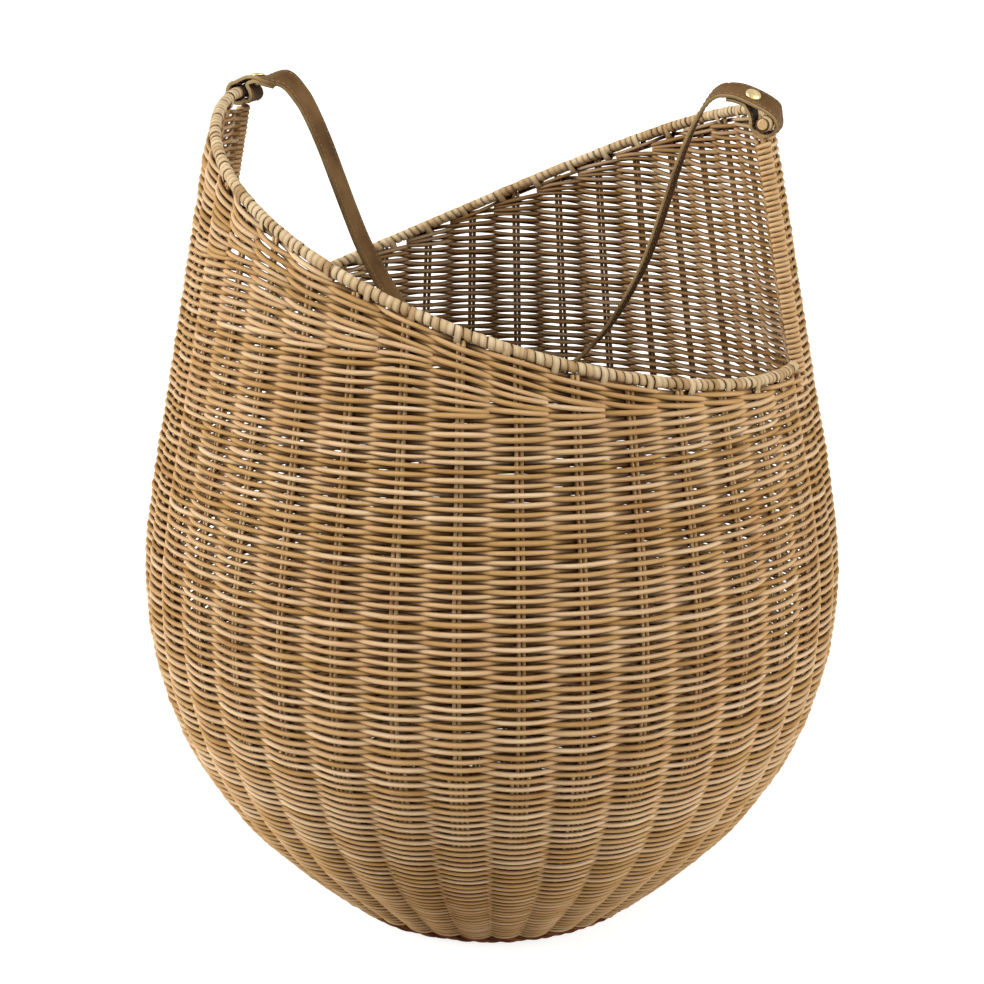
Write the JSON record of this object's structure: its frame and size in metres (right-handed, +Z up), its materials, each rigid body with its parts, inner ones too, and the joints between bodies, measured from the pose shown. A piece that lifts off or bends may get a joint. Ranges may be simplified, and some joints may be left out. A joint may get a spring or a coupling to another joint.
{
  "type": "rattan basket",
  "caption": "Tall round woven rattan basket with a narrow foot, a wide belly, a two-sweep sloping rim and a slack leather strap riveted round the rim.",
  "frame": {"origin": "centre of the foot, on the floor", "axes": "+Z up; X through the two tall ends of the rim, where the strap is fixed; -Y is the front"},
  "size_m": [0.3956, 0.3952, 0.4764],
  "materials": {
    "woven_cane": "natural, dry",
    "wound_cane": "natural, faint sheen",
    "dark_cane": "stained, dry",
    "rods": "natural, dry",
    "leather": "waxed, pale raw edges",
    "brass": "polished"
  },
  "bodies": {
    "basket": {"foot_border": "dark_cane", "base_weave": "woven_cane", "base_sticks": "rods", "fine_weave": "woven_cane", "open_weave": "woven_cane", "rim_core_back": "rods", "rim_winding_back": "wound_cane", "rim_core_front": "rods", "rim_winding_front": "wound_cane", "strap_end_right": "leather", "rivet_cap_right": "brass", "rivet_washer_right": "brass", "strap_end_left": "leather", "rivet_cap_left": "brass", "rivet_washer_left": "brass", "stake_01": "rods", "stake_02": "rods", "stake_03": "rods", "stake_04": "rods", "stake_05": "rods", "stake_06": "rods", "stake_07": "rods", "stake_08": "rods", "stake_09": "rods", "stake_10": "rods", "stake_11": "rods", "stake_12": "rods", "stake_13": "rods", "stake_14": "rods", "stake_15": "rods", "stake_16": "rods", "stake_17": "rods", "stake_18": "rods", "stake_19": "rods", "stake_20": "rods", "stake_21": "rods", "stake_22": "rods", "stake_23": "rods", "stake_24": "rods", "stake_25": "rods", "stake_26": "rods", "stake_27": "rods", "stake_28": "rods", "stake_29": "rods", "stake_30": "rods", "stake_31": "rods", "stake_32": "rods", "stake_33": "rods", "stake_34": "rods", "stake_35": "rods", "stake_36": "rods", "stake_37": "rods", "stake_38": "rods"},
    "handle": {"hanging_strap": "leather"}
  },
  "joints": [
    {"name": "handle_swing", "type": "hinge", "parent": "basket", "child": "handle", "pos_m": [0, 0, 0.47418], "axis": [1, 0, 0], "range_deg": [-60, 44]}
  ]
}
